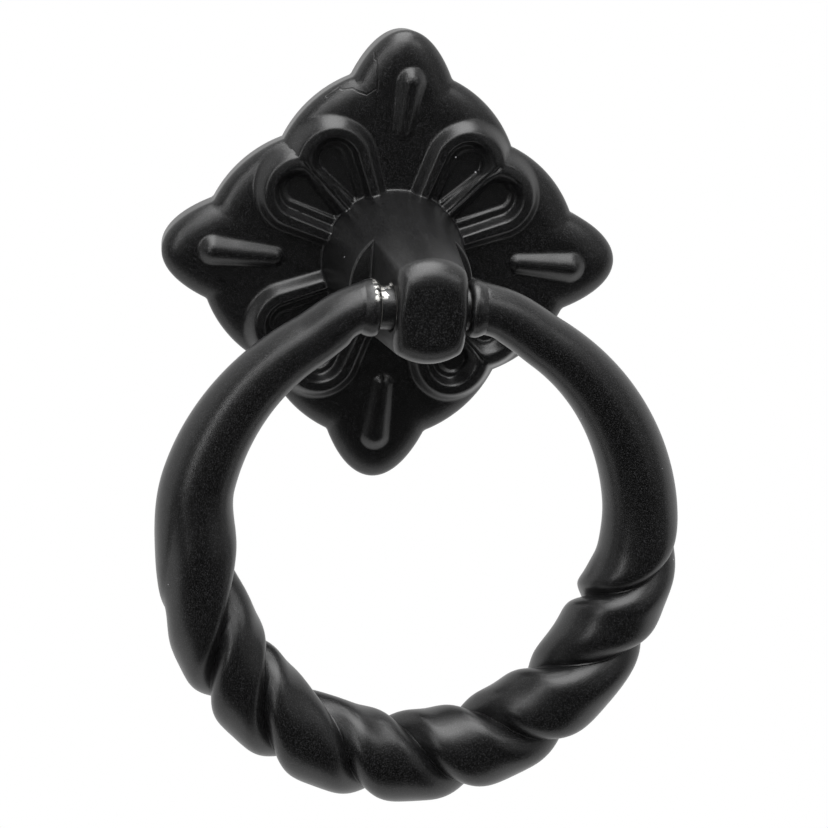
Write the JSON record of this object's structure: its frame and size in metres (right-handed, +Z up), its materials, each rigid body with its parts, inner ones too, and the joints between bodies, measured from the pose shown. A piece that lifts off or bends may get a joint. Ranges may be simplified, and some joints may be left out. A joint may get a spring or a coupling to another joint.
{
  "type": "ring pull handle",
  "caption": "Black cast ring pull: a diamond-shaped scalloped rosette with a bored post, and a twisted ring that hangs from the post and swings.",
  "frame": {"origin": "centre of the rosette's back, at the mouth of the tapped fixing hole", "axes": "+Z up on the mounted handle, -Y out of the drawer front towards the user, +X to the right as seen by the user"},
  "size_m": [0.0618, 0.0319, 0.0868],
  "materials": {
    "backplate_paint": "satin black paint over a zinc casting",
    "ring_paint": "satin black paint over a zinc casting, worn to bare metal at the pegs"
  },
  "bodies": {
    "backplate": {"backplate": "backplate_paint"},
    "ring": {"ring": "ring_paint"}
  },
  "joints": [
    {"name": "ring_swing", "type": "hinge", "parent": "backplate", "child": "ring", "pos_m": [0, -0.0265, 0], "axis": [-1, 0, 0], "range_deg": [-22, 202]}
  ]
}
